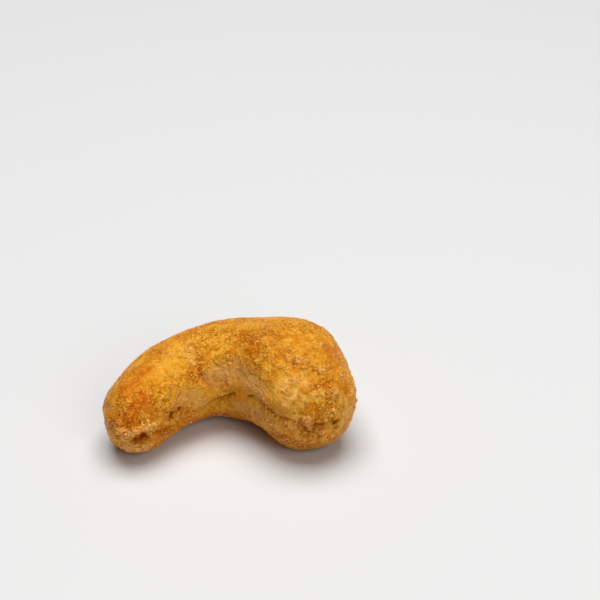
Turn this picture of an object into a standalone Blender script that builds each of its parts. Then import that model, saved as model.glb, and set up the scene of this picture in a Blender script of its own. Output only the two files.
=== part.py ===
# A whole roasted and salted cashew kernel, lying on its side as it comes to rest.
# Lengths are in metres, +Z is up. The inner curve of the crescent faces -Y and the broad end is at +X.

import bmesh
import bpy
import numpy as np

MM = 0.001
COLLECTION = "roasted_cashew_nut"
KERNEL = "kernel"

# KERNEL_LENGTH is the finished size. All other lengths are proportions, drawn at about 28 mm, and are
# fitted to it at the end. The spine is the line that the crescent is bent round, from the narrow tip
# to the broad end, and each cap is the part of it that rounds off an end.
KERNEL_LENGTH = 26.0 * MM
SPINE_LENGTH = 33.8 * MM
NARROW_CAP = 4.0 * MM
BROAD_CAP = 5.2 * MM
NARROW_CAP_POWER = 2.2
BROAD_CAP_POWER = 2.3
SECTION_POWER = 2.15

# Eight cross sections, evenly spaced along the spine: angles in degrees, lengths in millimetres.
# CLEARANCE is the underside's height, and where it is below zero the kernel rests on a flat spot.
HEADING = (46, 59, 45, 20, -17, -46, -68, -74)
BACK_WIDTH = (3.4, 4.15, 4.9, 5.25, 6.25, 7.2, 5.7, 5.3)
INNER_WIDTH = (3.2, 3.8, 4.6, 4.95, 5.6, 5.8, 5.3, 4.9)
TOP_DEPTH = (3.8, 4.45, 4.7, 5.1, 5.7, 6.1, 5.75, 4.7)
UNDER_DEPTH = (3.95, 4.45, 4.6, 5.1, 5.7, 6.1, 5.9, 5.9)
CLEARANCE = (0.3, -0.14, 0.28, 0.22, -0.14, 0.28, -0.16, 0.3)

# The line where the two seed leaves meet, as an angle round each section: 0 is the middle of the
# convex back, 90 the top and 180 the middle of the inner curve.
BACK_SEAM = (0, 2, 5, 8, 14, 25, 37, 48)
INNER_SEAM = (180, 191, 196, 187, 178.5, 180, 173, 180)
SEAM_DEPTH = 0.4 * MM
SEAM_HALF_WIDTH = 0.4 * MM
LIP_HEIGHT = 0.15 * MM
LIP_OFFSET = 0.95 * MM
LIP_HALF_WIDTH = 0.6 * MM

# Hollows and swellings: distance along the spine in mm, angle round the section in degrees, half
# length and half height in mm, turn from the level in degrees, rise in mm.
RELIEF = (
    ("narrow tip mouth", 1.6, 184, 1.6, 0.75, 12, -0.7),
    ("narrow tip lower lip", 1.7, 217, 1.6, 0.8, 8, 0.18),
    ("broad end crater", 33.6, 207, 2.9, 1.0, 0, -0.75),
    ("broad end tooth", 33.55, 190, 0.75, 0.8, 0, 0.6),
    ("broad end knob", 33.74, 275, 0.6, 0.7, 0, 0.45),
    ("broad end root hole", 33.7, 345, 0.6, 0.8, 0, -0.5),
    ("broad end chin", 32.9, 218, 2.8, 1.0, 0, 0.2),
    ("inner belly", 24.5, 212, 2.2, 2.2, 0, 0.35),
    ("saddle", 20.5, 154, 3.4, 2.8, 0, -0.25),
    ("saddle fold", 11.5, 148, 2.0, 0.55, -62, -0.3),
    ("broad lobe", 32.0, 120, 1.9, 2.0, 0, 0.2),
    ("broad top hollow", 29.0, 98, 2.2, 1.6, 0, -0.12),
    ("arm dimple", 5.4, 173, 0.65, 0.8, -20, -0.35),
    ("arm swelling", 8.0, 100, 3.0, 2.6, 40, 0.12),
    ("back dent", 13.5, 30, 4.0, 2.0, 20, -0.2),
    ("under hollow", 11.0, 300, 2.6, 2.0, 0, -0.2),
)
RELIEF_REACH = 3.0 * MM

RINGS = 78
COLUMNS = 54
SEAM_CROWDING = 0.55
SEAM_POINTS = 600

COLOUR = (0.62, 0.30, 0.055, 1.0)
ROUGHNESS = 0.5


def clear_scene():
    for old in list(bpy.data.objects):
        bpy.data.objects.remove(old, do_unlink=True)


def curve_through(values, t):
    """A smooth curve through evenly spaced values, read at t from 0 to 1."""
    v = np.asarray(values, float)
    v = np.concatenate([[2 * v[0] - v[1]], v, [2 * v[-1] - v[-2]]])
    x = np.clip(t, 0, 1 - 1e-9) * (len(values) - 1)
    i = x.astype(int)
    f = x - i
    a, b, c, d = v[i], v[i + 1], v[i + 2], v[i + 3]
    return b + 0.5 * f * (c - a + f * (2 * a - 5 * b + 4 * c - d + f * (3 * (b - c) + d - a)))


def rounded(x):
    return np.sign(x) * np.abs(x) ** (2 / SECTION_POWER)


def spine_point(along):
    """The spine's place and heading at each distance along it."""
    t = np.linspace(0, 1, 1001)
    heading = np.radians(curve_through(HEADING, t))
    step = SPINE_LENGTH / (len(t) - 1)
    x, y = ([0, *np.cumsum((f[1:] + f[:-1]) * step / 2)] for f in (np.cos(heading), np.sin(heading)))
    share = along / SPINE_LENGTH
    return np.interp(share, t, x), np.interp(share, t, y), np.interp(share, t, heading)


def cap_profile(run):
    """Distance along the spine and the section's scale, for run from 0 to 1 over the whole length."""
    quarter = np.pi / 2
    straight = SPINE_LENGTH - NARROW_CAP - BROAD_CAP
    total = (NARROW_CAP + BROAD_CAP) * quarter + straight
    distance = run * total
    start = np.clip(distance / NARROW_CAP, 0, quarter)
    end = np.clip((total - distance) / BROAD_CAP, 0, quarter)
    middle = np.clip(distance - NARROW_CAP * quarter, 0, straight)
    along = NARROW_CAP * (1 - np.cos(start)) + middle + BROAD_CAP * np.cos(end)
    scale = np.sin(start) ** (2 / NARROW_CAP_POWER) * np.sin(end) ** (2 / BROAD_CAP_POWER)
    return along, scale


def scale_at(along):
    """The section's scale at a distance along the spine."""
    start = np.arccos(np.clip(1 - along / NARROW_CAP, 0, 1))
    end = np.arccos(np.clip(1 - (SPINE_LENGTH - along) / BROAD_CAP, 0, 1))
    return np.sin(start) ** (2 / NARROW_CAP_POWER) * np.sin(end) ** (2 / BROAD_CAP_POWER)


def surface_point(along, angle, scale):
    """Points of the smooth form, before seam and relief."""
    share = along / SPINE_LENGTH
    x, y, heading = spine_point(along)
    back, inner, top, under, clearance = (
        curve_through(row, share) * MM for row in (BACK_WIDTH, INNER_WIDTH, TOP_DEPTH, UNDER_DEPTH, CLEARANCE)
    )
    c, s = rounded(np.cos(angle)), rounded(np.sin(angle))
    out = np.where(c > 0, back, inner) * c * scale
    up = np.where(s > 0, top, under) * s * scale
    return np.stack([x - np.sin(heading) * out, y + np.cos(heading) * out, under + clearance + up], -1)


def seam_angle(turn, along):
    """Angle round the section. turn 0 and 0.5 lie on the two seams, and columns crowd towards them."""
    share = along / SPINE_LENGTH
    back = curve_through(BACK_SEAM, share)
    inner = curve_through(INNER_SEAM, share)
    half = (turn * 2) % 1
    half = half - SEAM_CROWDING * np.sin(2 * np.pi * half) / (2 * np.pi)
    upper = back + (inner - back) * half
    lower = inner + (back + 360 - inner) * half
    return np.radians(np.where(turn < 0.5, upper, lower))


def bump(distance):
    """1 in the middle, falling smoothly to 0 at distance 1."""
    return np.clip(1 - distance**2, 0, 1) ** 2


def tangent_frame(along, angle):
    """A point of the smooth form with its level direction, its upward direction and its normal."""
    nudge = 0.02 * MM
    alongs = np.array([along - nudge, along + nudge, along, along])
    angles = angle + np.array([0, 0, -0.01, 0.01])
    before, after, low, high = surface_point(alongs, angles, scale_at(alongs))
    normal = np.cross(high - low, after - before)
    normal /= np.linalg.norm(normal)
    level = np.array([1, 0, 0]) - normal * normal[0]
    level /= np.linalg.norm(level)
    return (before + after) / 2, level, np.cross(normal, level), normal


def relief_height(points):
    """Height of all named hollows and swellings at each point."""
    height = np.zeros(len(points))
    for _, along, angle, half_length, half_height, turn, rise in RELIEF:
        centre, level, upward, normal = tangent_frame(along * MM, np.radians(angle))
        offset = points - centre
        c, s = np.cos(np.radians(turn)), np.sin(np.radians(turn))
        u = offset @ (level * c + upward * s) / (half_length * MM)
        v = offset @ (upward * c - level * s) / (half_height * MM)
        height += bump(np.sqrt(u**2 + v**2 + (offset @ normal / RELIEF_REACH) ** 2)) * rise * MM
    return height


def seam_height(points, turn):
    """The groove where the seed leaves meet, with a raised lip on the upper one."""
    along, scale = cap_profile(np.linspace(0, 1, SEAM_POINTS))
    angles = [seam_angle(np.full_like(along, side), along) for side in (0, 0.5)]
    seam = np.concatenate([surface_point(along, angle, scale) for angle in angles])
    distance = np.array([np.linalg.norm(seam - point, axis=1).min() for point in points])
    distance[turn > 0.5] *= -1
    groove = -SEAM_DEPTH * np.exp(-((distance / SEAM_HALF_WIDTH) ** 2))
    lip = LIP_HEIGHT * np.exp(-(((distance - LIP_OFFSET) / LIP_HALF_WIDTH) ** 2))
    return groove + lip


def make_kernel():
    bm = bmesh.new()
    bmesh.ops.create_uvsphere(bm, u_segments=COLUMNS, v_segments=RINGS, radius=1)
    ball = np.array([v.co for v in bm.verts])
    run = 0.5 + np.arcsin(np.clip(ball[:, 2], -1, 1)) / np.pi
    turn = (np.arctan2(ball[:, 1], ball[:, 0]) / (2 * np.pi)) % 1
    turn[turn > 1 - 1e-6] = 0
    along, scale = cap_profile(run)
    angle = seam_angle(turn, along)
    smooth = surface_point(along, angle, scale)
    for vert, place in zip(bm.verts, smooth):
        vert.co = place
    bmesh.ops.recalc_face_normals(bm, faces=bm.faces)
    bm.normal_update()
    normal = np.array([v.normal for v in bm.verts])

    height = relief_height(smooth) + seam_height(smooth, turn)
    shaped = smooth + normal * height[:, None]
    shaped[:, 2] = np.maximum(shaped[:, 2], 0)

    low, high = shaped.min(0), shaped.max(0)
    centre = (low + high) / 2 * (1, 1, 0)
    fit = KERNEL_LENGTH / (high[0] - low[0])
    for vert, place in zip(bm.verts, (shaped - centre) * fit):
        vert.co = place
    mesh = bpy.data.meshes.new(KERNEL)
    bm.to_mesh(mesh)
    bm.free()
    mesh.shade_smooth()
    return bpy.data.objects.new(KERNEL, mesh)


def kernel_material():
    material = bpy.data.materials.new("roasted_kernel")
    material.use_nodes = True
    shader = material.node_tree.nodes["Principled BSDF"]
    shader.inputs["Base Color"].default_value = COLOUR
    shader.inputs["Roughness"].default_value = ROUGHNESS
    shader.inputs["Metallic"].default_value = 0.0
    return material


def main():
    clear_scene()
    collection = bpy.data.collections.new(COLLECTION)
    bpy.context.scene.collection.children.link(collection)
    kernel = make_kernel()
    kernel.data.materials.append(kernel_material())
    collection.objects.link(kernel)


main()
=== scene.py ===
# A roasted and salted cashew kernel, lying on its side on a pale floor.
# Its form is drawn in millimetres at about 28 mm long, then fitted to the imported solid.

import bmesh
import bpy
import numpy as np
from mathutils import Matrix, Vector, kdtree, noise


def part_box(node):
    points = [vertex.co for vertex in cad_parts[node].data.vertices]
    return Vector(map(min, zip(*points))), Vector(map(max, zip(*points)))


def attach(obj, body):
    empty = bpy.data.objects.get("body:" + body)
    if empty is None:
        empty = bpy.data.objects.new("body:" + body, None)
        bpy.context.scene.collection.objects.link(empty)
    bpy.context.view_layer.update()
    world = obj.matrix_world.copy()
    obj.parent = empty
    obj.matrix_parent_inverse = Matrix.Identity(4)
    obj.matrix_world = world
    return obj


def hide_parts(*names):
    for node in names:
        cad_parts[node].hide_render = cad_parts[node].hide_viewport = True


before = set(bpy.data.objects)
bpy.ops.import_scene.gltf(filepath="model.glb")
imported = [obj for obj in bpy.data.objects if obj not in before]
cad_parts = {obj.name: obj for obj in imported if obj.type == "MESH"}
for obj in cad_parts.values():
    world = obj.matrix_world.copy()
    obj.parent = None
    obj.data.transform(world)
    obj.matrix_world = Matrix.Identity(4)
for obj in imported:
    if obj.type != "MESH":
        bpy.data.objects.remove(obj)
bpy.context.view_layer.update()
mm = 0.001
print("frame loaded")

# The crescent. Each row of eight runs evenly along the spine, from the narrow tip to the broad end, and
# clearance is how high the underside lies. The rings crowd to the ends and the columns to the seams.
form = {
    "spine": 33.8,
    "spinePoints": 1001,
    "narrowCap": 4.0,
    "broadCap": 5.2,
    "narrowPower": 2.2,
    "broadPower": 2.3,
    "sectionPower": 2.15,
    "heading": (46, 59, 45, 20, -17, -46, -68, -74),
    "backWidth": (3.4, 4.15, 4.9, 5.25, 6.25, 7.2, 5.7, 5.3),
    "innerWidth": (3.2, 3.8, 4.6, 4.95, 5.6, 5.8, 5.3, 4.9),
    "topDepth": (3.8, 4.45, 4.7, 5.1, 5.7, 6.1, 5.75, 4.7),
    "underDepth": (3.95, 4.45, 4.6, 5.1, 5.7, 6.1, 5.9, 5.9),
    "clearance": (0.3, -0.14, 0.28, 0.22, -0.14, 0.28, -0.16, 0.3),
    "backSeam": (0, 2, 5, 8, 14, 25, 37, 48),
    "innerSeam": (180, 191, 196, 187, 178.5, 180, 173, 184),
    "rings": 330,
    "columns": 286,
    "endCrowding": 0.2,
    "seamCrowding": 0.3,
}


# A smooth curve through evenly spaced values, read at t from 0 to 1
def curveThrough(values, t):
    v = np.asarray(values, float)
    v = np.concatenate([[2 * v[0] - v[1]], v, [2 * v[-1] - v[-2]]])
    x = np.clip(t, 0, 1 - 1e-9) * (len(values) - 1)
    i = x.astype(int)
    f = x - i
    a, b, c, d = v[i], v[i + 1], v[i + 2], v[i + 3]
    return b + 0.5 * f * (c - a + f * (2 * a - 5 * b + 4 * c - d + f * (3 * (b - c) + d - a)))


def rounded(x):
    return np.sign(x) * np.abs(x) ** (2 / form["sectionPower"])


# The spine's place and heading at each distance along it
def spinePoint(along):
    t = np.linspace(0, 1, form["spinePoints"])
    heading = np.radians(curveThrough(form["heading"], t))
    step = form["spine"] / (len(t) - 1)
    x, y = ([0, *np.cumsum((f[1:] + f[:-1]) * step / 2)] for f in (np.cos(heading), np.sin(heading)))
    share = along / form["spine"]
    return np.interp(share, t, x), np.interp(share, t, y), np.interp(share, t, heading)


# Distance along the spine and the section's scale, for run from 0 to 1 over the whole length
def capProfile(run):
    quarter = np.pi / 2
    narrow, broad = form["narrowCap"], form["broadCap"]
    straight = form["spine"] - narrow - broad
    total = (narrow + broad) * quarter + straight
    start = np.clip(run * total / narrow, 0, quarter)
    end = np.clip((1 - run) * total / broad, 0, quarter)
    middle = np.clip(run * total - narrow * quarter, 0, straight)
    along = narrow * (1 - np.cos(start)) + middle + broad * np.cos(end)
    return along, np.sin(start) ** (2 / form["narrowPower"]) * np.sin(end) ** (2 / form["broadPower"])


# The section's scale at a distance along the spine
def scaleAt(along):
    start = np.arccos(np.clip(1 - along / form["narrowCap"], 0, 1))
    end = np.arccos(np.clip(1 - (form["spine"] - along) / form["broadCap"], 0, 1))
    return np.sin(start) ** (2 / form["narrowPower"]) * np.sin(end) ** (2 / form["broadPower"])


# Points of the smooth form. Angle 0 is the middle of the back, 90 the top, 180 the inner curve.
def surfacePoint(along, angle, scale):
    share = along / form["spine"]
    x, y, heading = spinePoint(along)
    rows = ("backWidth", "innerWidth", "topDepth", "underDepth", "clearance")
    back, inner, top, under, clearance = (curveThrough(form[row], share) for row in rows)
    c, s = rounded(np.cos(angle)), rounded(np.sin(angle))
    out = np.where(c > 0, back, inner) * c * scale
    up = np.where(s > 0, top, under) * s * scale
    return np.stack([x - np.sin(heading) * out, y + np.cos(heading) * out, under + clearance + up], -1)


# Angle round the section at each turn: turn 0 is the seam on the back and 0.5 the one on the inner curve
def seamAngle(turn, along, crowding=0.0):
    share = along / form["spine"]
    back = curveThrough(form["backSeam"], share)
    inner = curveThrough(form["innerSeam"], share)
    half = (turn * 2) % 1
    half = half - crowding * np.sin(2 * np.pi * half) / (2 * np.pi)
    upper = back + (inner - back) * half
    lower = inner + (back + 360 - inner) * half
    return np.radians(np.where(turn < 0.5, upper, lower))


# The solid's own hollows and swellings: along, angle, half length, half height, turn, rise
relief = {
    "narrow tip mouth": (1.6, 184, 1.6, 0.75, 12, -0.7),
    "narrow tip lower lip": (1.7, 217, 1.6, 0.8, 8, 0.18),
    "broad end crater": (33.6, 207, 2.9, 1.0, 0, -0.75),
    "broad end tooth": (33.55, 190, 0.75, 0.8, 0, 0.6),
    "broad end knob": (33.74, 275, 0.6, 0.7, 0, 0.45),
    "broad end root hole": (33.7, 345, 0.6, 0.8, 0, -0.5),
    "broad end chin": (32.9, 218, 2.8, 1.0, 0, 0.2),
    "inner belly": (24.5, 212, 2.2, 2.2, 0, 0.35),
    "saddle": (20.5, 154, 3.4, 2.8, 0, -0.25),
    "saddle fold": (11.5, 148, 2.0, 0.55, -62, -0.3),
    "broad lobe": (32.0, 120, 1.9, 2.0, 0, 0.2),
    "broad top hollow": (29.0, 98, 2.2, 1.6, 0, -0.12),
    "arm dimple": (5.4, 173, 0.65, 0.8, -20, -0.35),
    "arm swelling": (8.0, 100, 3.0, 2.6, 40, 0.12),
    "back dent": (13.5, 30, 4.0, 2.0, 20, -0.2),
    "under hollow": (11.0, 300, 2.6, 2.0, 0, -0.2),
}
reliefReach = 3.0  # how far above or below its centre a hollow or swelling still acts


# A point of the smooth form with its level direction, its upward direction and its normal
def tangentFrame(along, angle):
    nudge, turn = 0.02, 0.01
    alongs = np.array([along - nudge, along + nudge, along, along])
    angles = angle + np.array([0, 0, -turn, turn])
    before, after, low, high = surfacePoint(alongs, angles, scaleAt(alongs))
    normal = np.cross(high - low, after - before)
    normal /= np.linalg.norm(normal)
    level = np.array([1, 0, 0]) - normal * normal[0]
    level /= np.linalg.norm(level)
    return (before + after) / 2, level, np.cross(normal, level), normal


def reliefHeight(points):
    height = np.zeros(len(points))
    for along, angle, halfLength, halfHeight, turn, rise in relief.values():
        centre, level, upward, normal = tangentFrame(along, np.radians(angle))
        offset = points - centre
        c, s = np.cos(np.radians(turn)), np.sin(np.radians(turn))
        u = offset @ (level * c + upward * s) / halfLength
        v = offset @ (upward * c - level * s) / halfHeight
        distance = u**2 + v**2 + (offset @ normal / reliefReach) ** 2
        height += np.clip(1 - distance, 0, 1) ** 2 * rise
    return height


# Distance to the nearest point of a line, and that point's place along it from 0 to 1
def nearest(points, line):
    tree = kdtree.KDTree(len(line))
    for i, point in enumerate(line):
        tree.insert(point, i)
    tree.balance()
    found = [tree.find(point) for point in points]
    return np.array([f[2] for f in found]), np.array([f[1] for f in found]) / max(len(line) - 1, 1)


# Noise of about -1 to 1 in lumps of the given size. Each further octave is half as wide and half as high,
# and another shift gives other noise.
def lumps(points, size, octaves=2, shift=0.0):
    away = Vector((shift, shift * 1.7, -shift))
    return np.array([noise.fractal(Vector(p) / size + away, 1.0, 2.0, octaves) for p in points])


# 0 below 0 and 1 above 1, smooth between
def soften(x):
    x = np.clip(x, 0, 1)
    return x * x * (3 - 2 * x)


# Areas of noise, 0 outside to 1 inside: cover is how much they cover, and contrast how sharply they end
def areas(points, size, octaves, shift, cover, contrast):
    return soften(cover + contrast * lumps(points, size, octaves, shift))


# The seam. The rows are pairs of distance along the spine and value: depth of the soft groove, depth of
# the open crack, how much of the crack is a row of dots, its darkness (painted shade in the crack), how far
# the lower leaf lies behind, and how much there is of the raised lip on the upper leaf.
seam = {
    "grooveWidth": 0.42,
    "lipHeight": 0.14,
    "lipOffset": 0.95,
    "lipWidth": 0.6,
    "crackWidth": 0.12,
    "stepWidth": 0.7,
    "points": 3000,
    "dotContrast": 2.5,
    "inner": {
        "groove": ((0, 0.02), (2, 0.1), (3, 0.26), (7, 0.14), (11, 0.08), (13, 0.2), (19.5, 0.2),
                   (21, 0.02), (23.5, 0.03), (25, 0.1), (30, 0.12), (31, 0.2), (33.8, 0.25)),
        "crack": ((1, 0), (3, 0.12), (6.5, 0.1), (8, 0.02), (11.2, 0.05), (12.7, 0.2), (19, 0.22),
                  (20.3, 0), (23.6, 0), (24.4, 0.16), (30.5, 0.18), (31, 0.06), (32, 0.1), (33.2, 0.12),
                  (33.8, 0.05)),
        "broken": ((10, 0.3), (12.5, 0.0), (19.5, 0.1), (23.5, 1.0), (30.3, 1.0), (31, 0.2), (33.8, 0.1)),
        "darkening": ((1, 0), (3, 0.25), (6.5, 0.2), (8, 0.0), (11.5, 0.3), (12.7, 0.9), (19, 0.8), (20.5, 0.0),
                  (23.6, 0.0), (24.4, 0.7), (30.5, 0.9), (31, 0.15), (33.2, 0.4), (33.8, 0.2)),
        "step": ((2, 0), (4, 0.08), (8, 0.03), (11.5, 0.08), (13, 0.26), (19, 0.24), (21, 0.0), (24, 0.03),
                 (30, 0.08), (31.5, 0.14), (33.8, 0.1)),
        "lip": ((0, 1), (33.8, 1)),
    },
    "back": {
        "groove": ((0, 0.02), (3, 0.18), (12, 0.24), (22, 0.22), (26, 0.12), (28.5, 0.02), (33.8, 0.05)),
        "crack": ((0, 0), (4, 0.08), (16, 0.1), (22, 0.05), (25, 0), (33.8, 0)),
        "broken": ((0, 0.6), (12, 0.4), (20, 0.8), (33.8, 0.8)),
        "darkening": ((2, 0), (5, 0.2), (15, 0.3), (22, 0.1), (25, 0), (32, 0), (33.8, 0.2)),
        "step": ((0, 0), (33.8, 0)),
        "lip": ((0, 1), (25, 1), (28.5, 0.2), (33.8, 0.2)),
    },
}


# Height of the seam's groove, lip, step and crack, and the painted shade along the crack
def seamRelief(points, turn, dots):
    along, scale = capProfile(np.linspace(0, 1, seam["points"]))
    lines = [surfacePoint(along, seamAngle(np.full_like(along, side), along), scale) for side in (0, 0.5)]
    (back, backPlace), (inner, innerPlace) = (nearest(points, line) for line in lines)
    distance = np.minimum(back, inner)
    signed = np.where(turn > 0.5, -distance, distance)
    bead = seam["lipHeight"] * np.exp(-(((signed - seam["lipOffset"]) / seam["lipWidth"]) ** 2))
    place = np.where(back < inner, backPlace, innerPlace)
    place = np.interp(place, np.linspace(0, 1, len(along)), along)
    height = np.zeros(len(points))
    dark = np.zeros(len(points))
    for side, near in (("back", back < inner), ("inner", back >= inner)):
        names = ("groove", "crack", "broken", "darkening", "step", "lip")
        rows = (np.interp(place, *zip(*seam[side][name])) * near for name in names)
        groove, crack, broken, darkening, step, lip = rows
        gaps = broken * soften(0.5 + seam["dotContrast"] * dots)
        line = np.exp(-((distance / seam["crackWidth"]) ** 2)) * (1 - gaps)
        height -= groove * np.exp(-((distance / seam["grooveWidth"]) ** 2)) + crack * line
        height += bead * lip - step * (signed < 0) * np.exp(-distance / seam["stepWidth"])
        # Painted shade: dark colour along the crack, where the lip above shades it
        dark = np.maximum(dark, darkening * line)
    return height, dark


# Fine lines and holes: path of (along, angle), half width, depth, raggedness, darkness. The darkness is
# painted shade inside the lines, grooves, pits and holes, and the kernel's own brown in the stains and
# specks.
creases = {
    "mouth": (((0.75, 204), (1.2, 198), (1.7, 193), (2.2, 187), (2.7, 182)), 0.62, 0.32, 0.5, 1.0),
    "mouth low side": (((2.55, 196), (2.2, 198)), 0.42, 0.1, 0.3, 0.6),
    "chin pit": (((0.4, 240),), 0.16, 0.12, 0.1, 0.7),
    "tip line": (((2.67, 192), (3.43, 188), (4.21, 186), (5.15, 188)), 0.17, 0.2, 0.04, 0.35),
    "saddle fold": (
        ((11.65, 126), (11.49, 136), (11.49, 148), (11.88, 158), (13.06, 172)), 0.2, 0.12, 0.1, 0.38
    ),
    "saddle fold branch": (((12.2, 137), (12.6, 150), (12.8, 162)), 0.14, 0.05, 0.05, 0.12),
    "upper wrinkle": (((26.3, 154), (28.6, 152), (30.4, 154), (31.1, 162)), 0.13, 0.06, 0.04, 0.15),
    "middle wrinkle": (((24.1, 166), (26.8, 162), (29.3, 161), (30.6, 166)), 0.13, 0.07, 0.04, 0.15),
    "lower wrinkle": (((25.3, 167), (27.8, 164), (29.6, 164)), 0.1, 0.05, 0.04, 0.15),
    "tooth groove": (
        ((33.34, 187), (33.48, 207), (33.53, 228), (33.64, 240), (33.75, 235), (33.76, 216)),
        0.3, 0.3, 0.15, 0.65
    ),
    "lip line": (((32.18, 178), (32.93, 182), (33.28, 184)), 0.15, 0.15, 0.1, 0.6),
    "lip shade": (
        ((33.76, 222), (33.77, 270), (33.765, 315), (33.74, 342), (33.66, 356)), 0.24, 0.3, 0.1, 0.9
    ),
    "root hole": (((33.58, 340), (33.48, 331)), 0.85, 0.28, 0.5, 1.0),
    "root hole lower": (((33.36, 329), (33.3, 320)), 0.7, 0.2, 0.5, 0.85),
    "arm dimple": (((5.0, 173), (5.3, 180)), 0.8, 0.22, 0.5, 1.0),
    "arm dimple upper": (((6.0, 172), (6.7, 176)), 0.8, 0.16, 0.5, 0.95),
    "arm dot": (((9.3, 191),), 0.13, 0.1, 0.0, 0.8),
    "scuff edge": (((28.2, 113), (28.79, 114), (29.25, 113), (29.4, 108)), 0.16, 0.1, 0.12, 0.45),
    "scuff top": (((28.6, 93), (28.71, 89.5), (29.1, 84)), 0.2, 0.12, 0.15, 0.5),
    "scuff hole": (((29.41, 107.5),), 0.2, 0.12, 0.1, 1.0),
    "scuff hole right": (((29.64, 104),), 0.17, 0.1, 0.1, 0.9),
    "scuff dots": (((30.46, 90.5), (30.7, 88), (30.97, 85.5)), 0.26, 0.08, 0.6, 0.6),
    "plaque pin": (((32.4, 192),), 0.2, 0.2, 0.0, 1.0),
    "plaque hole": (((32.97, 188),), 0.22, 0.2, 0.05, 0.9),
    "belly pin": (((18.1, 196),), 0.11, 0.12, 0.0, 0.9),
    "belly pin middle": (((22.4, 203),), 0.1, 0.12, 0.0, 0.7),
    "belly pin right": (((25.2, 193),), 0.11, 0.15, 0.0, 0.9),
    "seam pin": (((30.54, 169),), 0.15, 0.15, 0.0, 1.0),
    "saddle pin": (((15.4, 160),), 0.1, 0.06, 0.0, 0.6),
    "saddle pin middle": (((16.66, 163),), 0.11, 0.06, 0.0, 0.7),
    "saddle pin low": (((15.87, 171),), 0.1, 0.06, 0.0, 0.5),
    "right valley": (((29.3, 37), (30.8, 36), (32.2, 34), (33.0, 29)), 0.75, 0.13, 0.2, 0.14),
    "scuff stain": (((28.2, 109), (29.2, 104), (29.8, 93), (30.8, 88)), 0.75, 0.03, 0.5, 0.22),
    "dimple stain": (((4.8, 178), (5.8, 176), (6.9, 175)), 0.9, 0.02, 0.5, 0.4),
    "saddle specks": (((12.9, 146), (14.2, 156), (16.0, 166), (18.5, 170)), 0.5, 0.03, 0.7, 0.4),
}
creaseTaper = 0.6  # how much narrower they are at their ends

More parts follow.
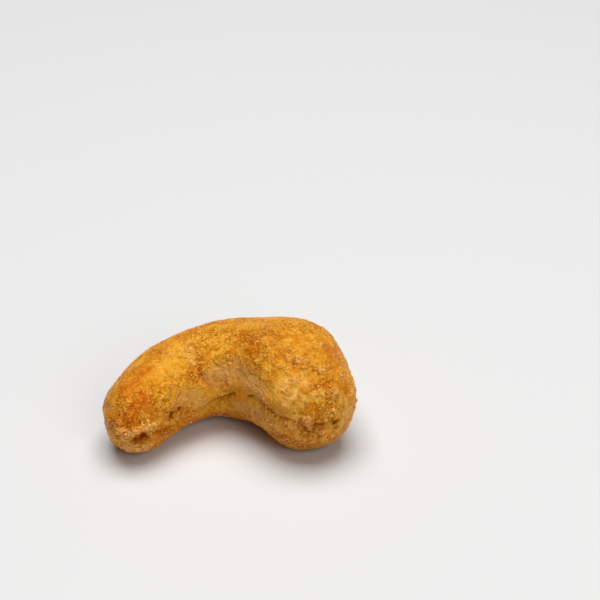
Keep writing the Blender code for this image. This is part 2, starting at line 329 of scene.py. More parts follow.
# Areas: path, half width, softness of the edge, raggedness, rise, tint, strength
patches = {
    "arm crust": (((3.8, 138), (3.9, 154), (5.2, 164), (6.6, 150)), 1.2, 0.9, 0.6, 0, "crusty", 1.0),
    "lower arm crust": (((4.2, 196), (6.5, 200), (9.0, 200)), 0.7, 0.9, 0.4, 0, "crusty", 0.9),
    "tip crust": (((0.3, 60), (1.4, 66), (3.0, 70), (6.0, 82)), 1.0, 0.9, 0.5, 0, "crusty", 0.5),
    "top crust": (((13.5, 96), (17, 96), (20, 108), (23, 98), (25, 72)), 2.4, 0.9, 0.8, 0, "crusty", 1.0),
    "scuff crust": (
        ((29, 100), (30.3, 92), (31.2, 84), (32.5, 72), (33.4, 65)), 1.4, 0.9, 0.6, 0, "crusty", 1.0
    ),
    "broad end crust": (
        ((30.5, 216), (32.4, 226), (33.2, 255), (33.1, 310)), 1.7, 0.9, 0.6, 0, "crusty", 1.0
    ),
    "right crust": (((28, 30), (31, 28), (32.6, 10)), 1.2, 0.9, 0.6, 0, "crusty", 0.7),
    "lip band": (((0.15, 166), (0.76, 173), (1.64, 171), (2.4, 170)), 0.7, 0.7, 0.3, 0.26, "bare", 1.0),
    "chin": (((0.3, 212), (0.85, 216), (1.58, 221), (2.17, 210)), 0.85, 0.8, 0.4, 0.03, "bare", 1.0),
    "chin low": (((0.35, 232), (0.9, 236), (1.6, 236), (2.2, 226)), 0.75, 0.9, 0.4, 0.02, "bare", 0.9),
    "crater": (
        ((32.3, 184), (32.8, 195), (33.4, 205), (33.6, 230), (33.7, 280), (33.6, 320)),
        0.6, 0.8, 0.3, 0, "bare", 0.2
    ),
    "mouth crumb": (((2.5, 203),), 0.2, 0.8, 0.2, 0.12, "cream", 0.7),
    "tooth": (((33.62, 176), (33.67, 192), (33.66, 208), (33.64, 215)), 0.76, 0.7, 0.2, 0.38, "bare", 0.75),
    "knob": (((33.68, 276), (33.45, 275)), 0.5, 0.7, 0.1, 0.45, "bare", 1.0),
    "plaque": (((32.29, 186), (32.5, 190), (32.7, 197)), 0.5, 0.6, 0.2, 0.02, "bare", 0.8),
    "olive patch": (((33.46, 291), (33.1, 283)), 0.32, 0.9, 0.1, 0, "honey", 0.8),
    "crater lip left": (((33.17, 173), (33.5, 160)), 0.34, 0.8, 0.3, 0.08, "cream", 0.5),
    "crater lump left": (((33.79, 227),), 0.32, 0.7, 0.1, 0.22, "bare", 0.8),
    "crater lump middle": (((33.79, 345),), 0.36, 0.7, 0.15, 0.28, "bare", 0.9),
    "crater lump right": (((33.74, 13), (33.61, 28)), 0.36, 0.8, 0.3, 0.2, "bare", 0.9),
    "scuff": (((28.3, 108), (29.0, 103), (29.56, 93)), 0.62, 0.9, 0.5, -0.03, "bare", 0.5),
    "scuff pink": (((29.75, 108.5),), 0.24, 0.9, 0.1, 0.0, "bare", 0.9),
    "scuff flake left": (((27.8, 109), (28.05, 108)), 0.16, 0.7, 0.05, 0.1, "cream", 1.0),
    "scuff flake": (((29.02, 97),), 0.22, 0.7, 0.05, 0.1, "cream", 1.0),
    "scuff streak": (((29.6, 121), (30.1, 118)), 0.15, 0.7, 0.05, 0.06, "cream", 0.8),
    "tip toast": (
        ((0.05, 110), (1.0, 102), (2.2, 90), (3.8, 86), (6.0, 92)), 1.7, 0.9, 0.6, 0, "toast", 0.75
    ),
    "tip toast low": (((0.6, 140), (1.4, 128), (2.6, 118)), 1.7, 0.8, 0.4, 0, "toast", 1.0),
    "right toast": (((32.06, 76), (32.84, 72), (33.38, 72)), 0.7, 0.9, 0.4, -0.04, "toast", 0.7),
    "shoulder toast": (
        ((19.0, 103), (20.5, 115), (21.7, 127), (24.1, 131)), 1.2, 0.9, 0.7, 0, "toast", 0.55
    ),
    "toast spot": (((25.0, 147), (26.4, 149)), 0.75, 0.9, 0.4, 0, "toast", 0.4),
    "chin toast": (((2.7, 201), (3.1, 200), (4.1, 194)), 0.5, 0.9, 0.2, 0, "toast", 0.9),
    # Partly painted shade: the underside is redder and deeper, partly the roast and partly the warm tone of
    # its shade
    "underside toast and shade": (
        ((4, 212), (10, 220), (16, 222), (24, 222), (29, 226)), 2.2, 0.9, 0.8, 0, "toast", 0.8
    ),
    "broad end toast": (
        ((30.5, 214), (32.2, 225), (33.1, 255), (32.9, 300)), 1.8, 0.9, 0.6, 0, "toast", 1.0
    ),
    "right rim toast": (((31.2, 30), (32.1, 12), (32.5, 351)), 1.2, 0.9, 0.5, 0, "toast", 0.35),
    "right side toast": (((28.0, 58), (31.0, 56)), 1.5, 0.9, 0.8, 0, "toast", 0.45),
    "saddle": (
        ((13.6, 156), (16.4, 156), (19, 150), (21.7, 158), (25.3, 166), (28.5, 162)),
        1.9, 1.0, 0.5, 0, "pale", 1.0
    ),
    "inner band": (((22.5, 196), (25.2, 192), (27.5, 190), (30, 186)), 1.3, 0.9, 0.5, 0, "pale", 0.85),
    "inner crust": (((23.5, 200), (27.5, 196), (31.0, 190)), 1.6, 0.9, 0.6, 0, "crusty", 0.7),
    "arm band": (((6.9, 163), (9.0, 168), (10.2, 180)), 1.5, 0.9, 0.5, 0, "pale", 0.7),
    "arm honey": (((6.8, 107), (8.2, 112), (9.8, 110), (11.0, 90)), 1.9, 0.9, 0.6, 0, "honey", 1.0),
    "arm honey right": (((12.0, 99), (13.5, 98), (15.0, 101)), 1.5, 0.9, 0.4, 0, "honey", 1.0),
    "top honey": (((15.5, 94), (19, 94), (22, 92), (25, 82), (27, 70)), 1.8, 0.9, 0.8, 0, "honey", 0.55),
    "lobe honey": (
        ((30.4, 128), (30.7, 148), (32.2, 152), (33.0, 136), (32.6, 110), (31.8, 95)),
        1.4, 0.9, 0.5, 0, "honey", 0.9
    ),
    "belly honey": (((14.3, 203), (16.1, 198), (18.7, 202), (21.4, 203)), 0.9, 0.9, 0.4, 0, "honey", 0.7),
    "belly honey right": (
        ((26.8, 203), (29.2, 200), (31.0, 195), (32.0, 195)), 1.2, 0.9, 0.4, 0, "honey", 1.0
    ),
    # Partly painted highlight: the arm's pale strip is lighter cream where the sheen falls, partly its own
    # cream
    "arm cheek": (((12.4, 94), (11.6, 102), (11.3, 113), (11.1, 124)), 0.8, 1.0, 0.35, 0.03, "cream", 0.6),
    "fold honey": (((12.8, 112), (13.4, 128)), 0.9, 0.9, 0.4, 0, "honey", 0.6),
    "arm pink spot": (((9.4, 94),), 0.5, 0.95, 0.2, 0.02, "bare", 0.6),
    # Painted highlight: the lobe is lighter cream where the oily sheen catches the light, and its cheek
    # partly so
    "lobe": (((32.2, 126), (32.34, 151)), 0.85, 0.95, 0.4, 0.08, "cream", 1.0),
    "lobe cheek": (((30.54, 137), (31.7, 110)), 1.1, 0.95, 0.5, 0.03, "cream", 0.55),
    "lobe bulge": (((31.6, 154), (32.6, 152)), 1.6, 1.0, 0.1, 0.3, "honey", 0.4),
    "golden streak": (
        ((30.6, 20), (31.9, 20), (32.8, 10), (33.2, 357)), 0.75, 0.9, 0.4, 0.04, "cream", 0.6
    ),
    "right rim": (((27.4, 14), (29.1, 12), (30.6, 8), (32.0, 355)), 0.6, 0.9, 0.4, 0.0, "bare", 0.6),
    "shoulder notch": (((28.6, 22), (29.4, 34)), 1.2, 1.0, 0.0, -0.16, "crusty", 0.4),
    "right bulge": (((30.8, 14), (31.8, 8)), 1.4, 0.9, 0.2, 0.14, "crusty", 0.5),
    "outline bump": (((11.2, 70),), 0.55, 0.9, 0.2, 0.14, "cream", 0.4),
    "outline bump lower": (((9.5, 67),), 0.4, 0.9, 0.2, 0.09, "cream", 0.4),
    "scuff speck": (((29.49, 106),), 0.13, 0.6, 0.0, 0.1, "cream", 1.0),
    "arm speck": (((5.31, 141),), 0.2, 0.6, 0.0, 0.12, "cream", 1.0),
    "fold speck": (((11.33, 162),), 0.16, 0.6, 0.0, 0.1, "cream", 1.0),
    "lobe speck": (((27.38, 139),), 0.18, 0.6, 0.0, 0.1, "cream", 1.0),
    "lip speck": (((33.72, 41),), 0.14, 0.6, 0.0, 0.1, "cream", 1.0),
    "right speck": (((32.12, 100),), 0.14, 0.6, 0.0, 0.1, "cream", 1.0),
    "dimple bump": (((5.31, 168),), 0.24, 0.8, 0.0, 0.12, "bare", 0.8),
    "dimple flake": (((4.68, 162.5),), 0.15, 0.7, 0.0, 0.1, "cream", 1.0),
    "dimple pink": (((6.17, 180),), 0.28, 0.8, 0.0, 0.08, "bare", 0.6),
}
strokeSteps = 60  # points that each path is followed through


# How far each point lies inside a stroke along the path, 0 outside to 1. The wobble moves the stroke's
# edge, softness is the edge's share of the half width, and taper is what the ends are narrower by.
def stroke(points, path, halfWidth, wobble, softness=1.0, taper=0.0):
    along, angle = np.array(path, float).T
    if len(path) > 1:
        steps = np.linspace(0, 1, strokeSteps)
        along, angle = curveThrough(along, steps), curveThrough(angle, steps)
    line = surfacePoint(along, np.radians(angle), scaleAt(along))
    reach = halfWidth + np.abs(wobble).max()
    close = np.all((points > line.min(0) - reach) & (points < line.max(0) + reach), axis=1)
    distance, place = nearest(points[close], line)
    width = halfWidth * (1 - taper * (2 * place - 1) ** 2 * (len(path) > 1))
    inside = np.zeros(len(points))
    inside[close] = soften((width - distance - wobble[close]) / (halfWidth * softness))
    return inside


# The grain of the surface, in millimetres. Swell to grit are size and height of its layers. The edges of
# patches and the seam's dots are size, octaves and shift, and the areas of rough crust and the clusters
# in them have cover and contrast too.
grain = {
    "swell": (3.4, 0.07),
    "lump": (1.5, 0.05),
    "crumb": (0.7, 0.05),
    "grit": (0.34, 0.035),
    "layerShift": 40,
    "fineEdge": (0.45, 2, 0.0),
    "wideEdge": (1.6, 2, 9.0),
    "wideFrom": 1.0,  # patches of this half width and more have the wide edge
    "dots": (0.5, 1, 21.0),
    "crust": (2.6, 3, 31.0, 0.35, 0.9),
    "cluster": (0.8, 2, 17.0, 0.5, 1.4),
    "plain": 0.3,  # roughness outside the crust
    "gaps": 0.35,  # and between the clusters
    "smoother": {"pale": 0.5, "honey": 0.4, "toast": 0.4},
    "crustyFloor": 0.55,
    "crustyCluster": 0.6,
    "bareGain": 1.5,
    "crustyGain": 0.9,
    "inset": 0.03,  # sinks the grain back to the solid's height
    "restFade": 1.4,  # height over the floor where fine work starts to fade
    "restShare": 0.2,  # what is left of it at the floor
}


# The smooth form as a mesh, with each point's place, its normal and its turn round the section
def smoothForm():
    bm = bmesh.new()
    bmesh.ops.create_uvsphere(bm, u_segments=form["columns"], v_segments=form["rings"], radius=1)
    ball = np.array([v.co for v in bm.verts])
    run = 0.5 + np.arcsin(np.clip(ball[:, 2], -1, 1)) / np.pi
    run -= form["endCrowding"] * np.sin(2 * np.pi * run) / (2 * np.pi)
    turn = (np.arctan2(ball[:, 1], ball[:, 0]) / (2 * np.pi)) % 1
    turn[turn > 1 - 1e-6] = 0
    along, scale = capProfile(run)
    smooth = surfacePoint(along, seamAngle(turn, along, form["seamCrowding"]), scale)
    for vert, place in zip(bm.verts, smooth):
        vert.co = place
    bmesh.ops.recalc_face_normals(bm, faces=bm.faces)
    bm.normal_update()
    normal = np.array([v.normal for v in bm.verts])
    # The sphere's faces come in another order on each run, so they are sorted, or the salt would move
    bm.verts.index_update()
    faces = []
    for face in bm.faces:
        corners = [v.index for v in face.verts]
        first = corners.index(min(corners))
        faces.append(corners[first:] + corners[:first])
    bm.free()
    mesh = bpy.data.meshes.new("cashewKernel")
    mesh.from_pydata(smooth, [], sorted(faces))
    return mesh, smooth, normal, turn


# Height of all that is finer than the solid's relief, and the layers that the materials read
def fineWork(points, turn):
    fine, wide, dots = (lumps(points, *grain[name]) for name in ("fineEdge", "wideEdge", "dots"))
    height, dark = seamRelief(points, turn, dots)
    tint = {kind: np.zeros(len(points)) for kind in ("crusty", "toast", "pale", "honey", "cream", "bare")}
    for path, halfWidth, depth, ragged, darkness in creases.values():
        mask = stroke(points, path, halfWidth, fine * ragged, taper=creaseTaper)
        height -= mask * depth
        # Painted shade in the lines and holes, and the kernel's own brown in the stains and specks
        dark = np.maximum(dark, mask * darkness)
    for path, halfWidth, softness, ragged, rise, kind, strength in patches.values():
        edge = fine if halfWidth < grain["wideFrom"] else wide
        mask = stroke(points, path, halfWidth, edge * ragged, softness)
        height += mask * rise
        tint[kind] = np.maximum(tint[kind], mask * strength)

    crust, cluster = (areas(points, *grain[name]) for name in ("crust", "cluster"))
    rough = (grain["plain"] + (1 - grain["plain"]) * crust) * (grain["gaps"] + cluster)
    for kind, share in grain["smoother"].items():
        rough *= 1 - share * tint[kind]
    crusty = tint.pop("crusty")
    rough = np.maximum(rough, crusty * (grain["crustyFloor"] + grain["crustyCluster"] * cluster))
    gritty = rough + grain["bareGain"] * tint["bare"] + grain["crustyGain"] * crusty
    for name, gain in (("swell", 1), ("lump", 1), ("crumb", gritty), ("grit", gritty)):
        size, rise = grain[name]
        height += lumps(points, size, shift=grain["layerShift"] * size) * rise * gain
    return height - grain["inset"], {"dark": dark, "salt": rough, **tint}


def kernelMesh():
    mesh, smooth, normal, turn = smoothForm()
    solid = reliefHeight(smooth)
    fine, layers = fineWork(smooth, turn)
    share = grain["restShare"]
    fine *= share + (1 - share) * soften(smooth[:, 2] / grain["restFade"])

    # The solid's relief alone sets the fit, so that no fine lump changes the size of the whole
    drawn = smooth + normal * solid[:, None]
    low, high = drawn.min(0), drawn.max(0)
    nodeLow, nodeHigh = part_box("kernel")
    fit = (nodeHigh.x - nodeLow.x) / mm / (high[0] - low[0])
    centre = (low + high) / 2 * (1, 1, 0)
    shaped = smooth + normal * (solid + fine)[:, None]
    shaped[:, 2] = np.maximum(shaped[:, 2], 0)
    shaped = (shaped - centre) * fit * mm
    mesh.vertices.foreach_set("co", shaped.astype(np.float32).ravel())
    for name, values in layers.items():
        layer = mesh.attributes.new(name, "FLOAT", "POINT")
        layer.data.foreach_set("value", np.clip(values, 0, 1).astype(np.float32))
    mesh.shade_smooth()
    mesh.update()
    print("kernel made:", len(mesh.polygons), "faces, fit", round(float(fit), 4))
    return mesh


# One output socket, which takes part in Python sums
class Wire:
    def __init__(self, tree, socket):
        self.tree = tree
        self.socket = socket

    def maths(self, operation, *values):
        return self.tree.add("ShaderNodeMath", {"operation": operation}, dict(enumerate(values)))

    def __add__(self, other):
        return self.maths("ADD", self, other)

    def __radd__(self, other):
        return self.maths("ADD", other, self)

    def __sub__(self, other):
        return self.maths("SUBTRACT", self, other)

    def __rsub__(self, other):
        return self.maths("SUBTRACT", other, self)

    def __mul__(self, other):
        return self.maths("MULTIPLY", self, other)

    def __rmul__(self, other):
        return self.maths("MULTIPLY", other, self)


class Tree:
    def __init__(self, tree):
        self.nodes = tree.nodes
        self.links = tree.links

    # Adds a node: settings first, then the values or links of its sockets, by name or number
    def add(self, kind, settings=None, inputs=None, out=0):
        node = self.nodes.new(kind)
        for name, value in (settings or {}).items():
            setattr(node, name, value)
        self.plug(node, inputs or {})
        return Wire(self, node.outputs[out])

    def plug(self, node, inputs):
        for name, value in inputs.items():
            if isinstance(value, Wire):
                self.links.new(value.socket, node.inputs[name])
            else:
                node.inputs[name].default_value = value

    def mix(self, factor, a, b):
        a, b = (x if isinstance(x, Wire) else (*x, 1) for x in (a, b))
        settings = {"data_type": "RGBA", "clamp_factor": True}
        return self.add("ShaderNodeMix", settings, {0: factor, 6: a, 7: b}, 2)

    # 0 at low and 1 at high, smooth between, whichever of them is the larger
    def rise(self, value, low, high):
        inputs = {"Value": value, "From Min": low, "From Max": high}
        return self.add("ShaderNodeMapRange", {"interpolation_type": "SMOOTHSTEP"}, inputs)

    # What the kernel's mesh holds under this name at each point
    def layer(self, name):
        return self.add("ShaderNodeAttribute", {"attribute_name": name}, {}, "Fac")

    # The place on the piece, in millimetres
    def place(self):
        spot = self.add("ShaderNodeTexCoord", {}, {}, "Object")
        return self.add("ShaderNodeVectorMath", {"operation": "SCALE"}, {0: spot, "Scale": 1 / mm})

    # Noise of 0 to 1 in blots of the given size
    def blots(self, place, size, detail=2.0, shift=0.0, roughness=0.5):
        moved = self.add("ShaderNodeVectorMath", {"operation": "ADD"}, {0: place, 1: (shift, shift, shift)})
        inputs = {"Vector": moved, "Scale": 1 / size, "Detail": detail, "Roughness": roughness}
        return self.add("ShaderNodeTexNoise", {}, inputs, "Fac")


def newMaterial(name):
    material = bpy.data.materials.new(name)
    material.use_nodes = True
    return material, Tree(material.node_tree), material.node_tree.nodes["Principled BSDF"]


# Colours of the roast, with "dark" the colour of painted shade in cracks, creases and holes as well as of
# brown stains, and "cream" also the colour of painted highlight on the lobe and arm. Blots are size in
# millimetres, detail, shift and roughness. Spans are the noise at which a colour starts and is whole, and
# specks have their strongest share as well.
kernelLook = {
    "gold": (0.72, 0.28, 0.008),
    "amber": (0.60, 0.19, 0.004),
    "light": (0.86, 0.44, 0.04),
    "toast": (0.54, 0.11, 0.0005),
    "toastDeep": (0.34, 0.065, 0.0005),
    "toastStreak": (0.71, 0.195, 0.002),
    "toastSpeck": (0.96, 0.44, 0.04),
    "honey": (0.82, 0.40, 0.03),
    "pale": (0.74, 0.385, 0.11),
    "cream": (1.0, 0.575, 0.14),
    "bare": (1.0, 0.50, 0.15),
    "speck": (1.0, 0.58, 0.11),
    "brownSpeck": (0.48, 0.135, 0.002),
    # Colour of painted shade in cracks, creases and holes, and of the brown stains and specks
    "dark": (0.27, 0.042, 0.0005),
    "blots": {
        "wide": (5.0, 2.0, 0.0, 0.5),
        "middle": (1.4, 4.0, 7.0, 0.6),
        "small": (0.5, 3.0, 11.0, 0.5),
        "crust": (0.85, 5.0, 53.0, 0.75),
        "sugar": (0.26, 2.0, 61.0, 0.6),
    },
    "spans": {
        "amber": (0.4, 0.6),
        "light": (0.48, 0.62),
        "honey": (0.36, 0.54),
        "toastStreak": (0.48, 0.6),
        "toast": (0.22, 0.44),
        "patchy": (0.2, 0.5),
    },
    "lightShare": 0.7,
    "paleShare": 0.9,
    "speckCover": {"plain": 0.25, "salt": 1.1, "bare": 0.5},
    "specks": {
        "crustDeep": (0.5, 0.38, 0.7),
        "crustLight": (0.53, 0.66, 0.5),
        "sugarDeep": (0.46, 0.34, 0.6),
        "sugarBright": (0.55, 0.68, 0.9),
    },
    "roughness": {"plain": 0.42, "small": 0.3, "bare": 0.2, "dark": 0.2, "pale": 0.15},
    "sugarHeight": 0.4,
    "plainBump": 0.35,
    "bumpDepth": 0.5,
    "specular": 0.24,
    "specularTint": (1.0, 0.65, 0.2, 1.0),
    "glow": 0.1,
    "glowDepth": 0.5,
    "glowRadius": (1.0, 0.5, 0.2),
}


def kernelMaterial():
    material, tree, shader = newMaterial("roastedKernel")
    look, place = kernelLook, tree.place()
    kinds = ("toast", "pale", "honey", "cream", "bare", "dark", "salt")
    toast, pale, honey, cream, bare, dark, salt = map(tree.layer, kinds)
    wide, middle, small, crust, sugar = (tree.blots(place, *blots) for blots in look["blots"].values())

    span = look["spans"]
    colour = tree.mix(tree.rise(wide, *span["amber"]), look["gold"], look["amber"])
    colour = tree.mix(tree.rise(middle, *span["light"]) * look["lightShare"], colour, look["light"])
    colour = tree.mix(honey * tree.rise(middle * 0.6 + small * 0.4, *span["honey"]), colour, look["honey"])
    streaked = tree.mix(tree.rise(crust, *span["toastStreak"]), look["toast"], look["toastStreak"])
    colour = tree.mix(toast * tree.rise(middle * 0.5 + small * 0.5, *span["toast"]), colour, streaked)
    colour = tree.mix(pale * look["paleShare"], colour, look["pale"])
    # Cream flesh, and painted highlight where the cream patches stand for the sheen on the lobe and arm
    colour = tree.mix(cream * tree.rise(small, *span["patchy"]), colour, look["cream"])
    colour = tree.mix(bare * tree.rise(small, *span["patchy"]), colour, look["bare"])

    cover = look["speckCover"]
    cover = cover["plain"] + cover["salt"] * salt + cover["bare"] * bare
    deep = tree.mix(toast, look["brownSpeck"], look["toastDeep"])
    bright = tree.mix(toast, look["speck"], look["toastSpeck"])
    tones = {
        "crustDeep": (crust, deep),
        "crustLight": (crust, look["light"]),
        "sugarDeep": (sugar, deep),
        "sugarBright": (sugar, bright),
    }
    for name, (blots, tone) in tones.items():
        start, whole, share = look["specks"][name]
        colour = tree.mix(tree.rise(blots, start, whole) * cover * share, colour, tone)
    # Painted shade in the seam's crack, the creases and the holes, and the brown of stains and specks
    colour = tree.mix(dark, colour, look["dark"])

    rough = look["roughness"]
    sheen = rough["plain"] + rough["small"] * (small - 0.5)
    sheen = sheen + rough["bare"] * bare + rough["dark"] * dark + rough["pale"] * pale
    least = look["plainBump"]
    height = (crust + look["sugarHeight"] * sugar) * (least + (1 - least) * (salt + bare))
    bump = {"Strength": 1.0, "Distance": look["bumpDepth"] * mm, "Height": height}
    bump = tree.add("ShaderNodeBump", {}, bump, "Normal")
    tree.plug(shader, {"Base Color": colour, "Roughness": sheen, "Normal": bump})
    constants = {
        "Specular IOR Level": look["specular"],
        "Specular Tint": look["specularTint"],
        "Subsurface Weight": look["glow"],
        "Subsurface Scale": look["glowDepth"] * mm,
        "Subsurface Radius": look["glowRadius"],
    }
    tree.plug(shader, constants)
    return material


# How thick the crystals lie, and their sizes, in millimetres. None lies lower than "lowest".
saltCrystals = {
    "layer": "salt",
    "perSquareMm": 16,
    "seed": 4,
    "smallest": 0.05,
    "largest": 0.12,
    "lowest": 0.3,
    "pale": (0.98, 0.56, 0.11),
    "golden": (0.86, 0.37, 0.02),
    "roughness": 0.2,
    "unevenness": 0.25,
    "blotSize": 0.25,
    "specular": 0.6,
    "specularTint": (1.0, 0.75, 0.35, 1.0),
}

# Torn flesh at the broken places
crumbFlakes = {
    "layer": "bare",
    "perSquareMm": 12,
    "seed": 9,
    "smallest": 0.07,
    "largest": 0.22,
    "lowest": 0.3,
    "pale": (0.98, 0.53, 0.16),
    "golden": (0.80, 0.33, 0.03),
    "roughness": 0.5,
    "unevenness": 0.2,
    "blotSize": 0.2,
    "specular": 0.25,
    "specularTint": (1.0, 0.75, 0.4, 1.0),
}

# What both kinds have in common: how few are large, how far each is turned and how finely it is dented
crystalShape = {"sizePower": 3, "turn": 6.28, "dentScale": 9000.0, "toneSeed": 5}


def crystalMaterial(name, look):
    material, tree, shader = newMaterial(name)
    colour = tree.mix(tree.layer("tone"), look["pale"], look["golden"])
    sheen = look["roughness"] + look["unevenness"] * tree.blots(tree.place(), look["blotSize"])
    tree.plug(shader, {"Base Color": colour, "Roughness": sheen})
    tree.plug(shader, {"Specular IOR Level": look["specular"], "Specular Tint": look["specularTint"]})
    return material


# Geometry nodes that strew small crystals over a surface, as thick as one of its layers says
def strewTree(name, layer):
    group = bpy.data.node_groups.new(name, "GeometryNodeTree")
    sockets = (
        ("Surface", "NodeSocketGeometry"),
        ("Density", "NodeSocketFloat"),
        ("Seed", "NodeSocketInt"),
        ("Smallest", "NodeSocketFloat"),
        ("Largest", "NodeSocketFloat"),
        ("Lowest", "NodeSocketFloat"),
        ("Material", "NodeSocketMaterial"),
    )
    for title, kind in sockets:
        group.interface.new_socket(title, in_out="INPUT", socket_type=kind)
    group.interface.new_socket("Crystals", in_out="OUTPUT", socket_type="NodeSocketGeometry")
    tree = Tree(group)
    entry = group.nodes.new("NodeGroupInput")
    given = {title: Wire(tree, entry.outputs[title]) for title, _ in sockets}

    thick = tree.add("GeometryNodeInputNamedAttribute", {"data_type": "FLOAT"}, {"Name": layer})
    spot = tree.add("GeometryNodeInputPosition")
    height = tree.add("ShaderNodeSeparateXYZ", {}, {0: spot}, "Z")
    above = tree.add("FunctionNodeCompare", {"operation": "GREATER_THAN"}, {0: height, 1: given["Lowest"]})
    density = given["Density"] * thick * above
    scatter = {"Mesh": given["Surface"], "Density": density, "Seed": given["Seed"]}
    random = {"distribute_method": "RANDOM"}
    points = tree.add("GeometryNodeDistributePointsOnFaces", random, scatter, "Points")

    # Crystals of mixed sizes, most of them small, each turned its own way
    number, direction = {"data_type": "FLOAT"}, {"data_type": "FLOAT_VECTOR"}
    draw = tree.add("FunctionNodeRandomValue", number, {2: 0.0, 3: 1.0, "Seed": given["Seed"]}, 1)
    draw = draw.maths("POWER", draw, crystalShape["sizePower"])
    size = given["Smallest"] + (given["Largest"] - given["Smallest"]) * draw
    turns = {0: (0, 0, 0), 1: (crystalShape["turn"],) * 3, "Seed": given["Seed"]}
    turn = tree.add("FunctionNodeRandomValue", direction, turns)
    cube = tree.add("GeometryNodeMeshCube", {}, {"Size": (1, 1, 1)})
    placed = {"Points": points, "Instance": cube, "Rotation": turn, "Scale": size}
    crystals = tree.add("GeometryNodeInstanceOnPoints", {}, placed)

    # Each has its own tone, and its corners are moved, so that no two are alike
    tone = {2: 0.0, 3: 1.0, "Seed": crystalShape["toneSeed"]}
    toned = {0: crystals, "Name": "tone", "Value": tree.add("FunctionNodeRandomValue", number, tone, 1)}
    stored = {"data_type": "FLOAT", "domain": "INSTANCE"}
    crystals = tree.add("GeometryNodeStoreNamedAttribute", stored, toned)
    crystals = tree.add("GeometryNodeRealizeInstances", {}, {0: crystals})
    dents = {"Vector": spot, "Scale": crystalShape["dentScale"], "Detail": 0.0}
    dents = tree.add("ShaderNodeTexNoise", {}, dents, "Color")
    dents = tree.add("ShaderNodeVectorMath", {"operation": "SUBTRACT"}, {0: dents, 1: (0.5, 0.5, 0.5)})
    dents = tree.add("ShaderNodeVectorMath", {"operation": "SCALE"}, {0: dents, "Scale": given["Largest"]})
    crystals = tree.add("GeometryNodeSetPosition", {}, {"Geometry": crystals, "Offset": dents})
    crystals = tree.add("GeometryNodeSetMaterial", {}, {"Geometry": crystals, "Material": given["Material"]})
    tree.links.new(crystals.socket, group.nodes.new("NodeGroupOutput").inputs["Crystals"])
    return group


def addPiece(name, mesh, material=None):
    piece = bpy.data.objects.new(name, mesh)
    if material:
        mesh.materials.append(material)
    bpy.context.scene.collection.objects.link(piece)
    return piece


# Runs the scatter on a piece and keeps its result as a plain mesh
def strew(name, surface, material, settings):
    group = strewTree(name, settings["layer"])
    base = addPiece(name + "Base", surface.data)
    modifier = base.modifiers.new(name, "NODES")
    modifier.node_group = group
    given = {
        "Density": settings["perSquareMm"] / mm**2,
        "Seed": settings["seed"],
        "Smallest": settings["smallest"] * mm,
        "Largest": settings["largest"] * mm,
        "Lowest": settings["lowest"] * mm,
        "Material": material,
    }
    for item in group.interface.items_tree:
        if item.name in given:
            modifier[item.identifier] = given[item.name]
    evaluated = base.evaluated_get(bpy.context.evaluated_depsgraph_get())
    mesh = bpy.data.meshes.new_from_object(evaluated)
    mesh.name = name
    base.modifiers.remove(modifier)
    bpy.data.objects.remove(base)
    print(name + ":", len(mesh.polygons) // 6, "grains of six faces")
    return addPiece(name, mesh)


# Floor, sky and lights, in metres. A light is its place, width, power and colour, and faces the kernel.
studio = {
    "floorHalf": 2.0,
    "floorColour": (0.70, 0.725, 0.75),
    "floorRoughness": 0.6,
    "skyColour": (0.75, 0.86, 1.0),
    "skyStrength": 0.05,
    "lights": {
        "overhead": ((0.0, 0.08, 0.49), 0.42, 3.1, (1.0, 0.96, 0.92)),
        "front": ((0.2, -0.34, 0.28), 0.3, 0.8, (1.0, 0.95, 0.9)),
    },
}


def addFloor():
    mesh = bpy.data.meshes.new("floor")
    half = studio["floorHalf"]
    corners = [(-half, -half, 0), (half, -half, 0), (half, half, 0), (-half, half, 0)]
    mesh.from_pydata(corners, [], [(0, 1, 2, 3)])
    material, tree, shader = newMaterial("paleFloor")
    tree.plug(shader, {"Base Color": (*studio["floorColour"], 1), "Roughness": studio["floorRoughness"]})
    addPiece("floor", mesh, material)


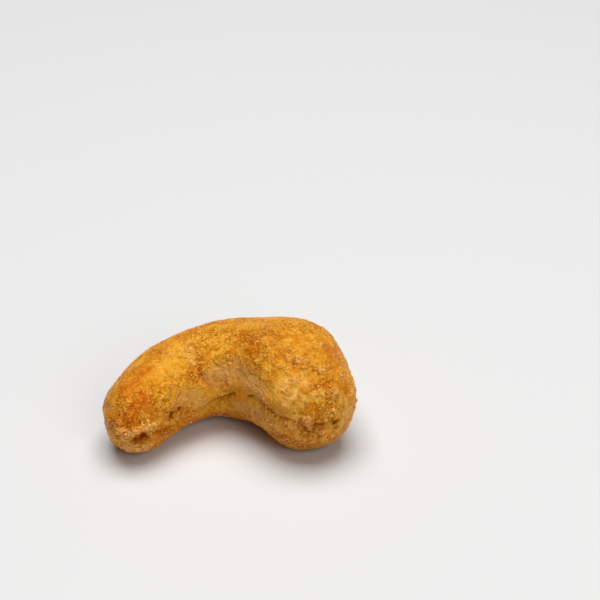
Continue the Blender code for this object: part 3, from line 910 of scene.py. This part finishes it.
def addWorld():
    world = bpy.data.worlds.new("studio")
    world.use_nodes = True
    sky = world.node_tree.nodes["Background"].inputs
    sky["Color"].default_value = (*studio["skyColour"], 1)
    sky["Strength"].default_value = studio["skyStrength"]
    bpy.context.scene.world = world
    bpy.context.scene.view_settings.view_transform = "Standard"


def addLight(name, spot, size, power, colour):
    data = bpy.data.lights.new(name, "AREA")
    data.size, data.energy, data.color = size, power, colour
    light = bpy.data.objects.new(name, data)
    light.location = spot
    light.rotation_euler = (Vector() - Vector(spot)).to_track_quat("-Z", "Y").to_euler()
    bpy.context.scene.collection.objects.link(light)


# The photograph's view: the target, in millimetres, falls on the pixel given
cameraView = {
    "elevation": 30.0,
    "lens": 110.0,
    "sensor": 36.0,
    "mmPerPixel": 0.10477,
    "target": (-0.084, 0.0, 4.908),
    "targetPixel": (230, 385),
    "pictureSize": 600,
    "clip": (0.01, 10),
}


def addCamera():
    view = cameraView
    tilt = np.radians(view["elevation"])
    forward = Vector((0, np.cos(tilt), -np.sin(tilt)))
    right, up = Vector((1, 0, 0)), Vector((0, np.sin(tilt), np.cos(tilt)))
    scale, middle = view["mmPerPixel"], view["pictureSize"] / 2
    distance = scale * view["pictureSize"] * view["lens"] / view["sensor"]
    across, down = ((middle - view["targetPixel"][0]) * scale, (view["targetPixel"][1] - middle) * scale)
    data = bpy.data.cameras.new("camera")
    data.lens, data.sensor_width = view["lens"], view["sensor"]
    data.clip_start, data.clip_end = view["clip"]
    camera = bpy.data.objects.new("camera", data)
    spot = Vector(view["target"]) - forward * distance + right * across + up * down
    camera.matrix_world = Matrix.Translation(spot * mm) @ Matrix((right, up, -forward)).transposed().to_4x4()
    bpy.context.scene.collection.objects.link(camera)
    bpy.context.scene.camera = camera


kernel = addPiece("cashewKernel", kernelMesh(), kernelMaterial())
salt = strew("saltCrystals", kernel, crystalMaterial("saltGrain", saltCrystals), saltCrystals)
flakes = strew("crumbFlakes", kernel, crystalMaterial("crumb", crumbFlakes), crumbFlakes)

for piece in (kernel, salt, flakes):
    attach(piece, "root")
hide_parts("kernel")

addFloor()
addWorld()
for name, light in studio["lights"].items():
    addLight(name, *light)
addCamera()
print("studio set")
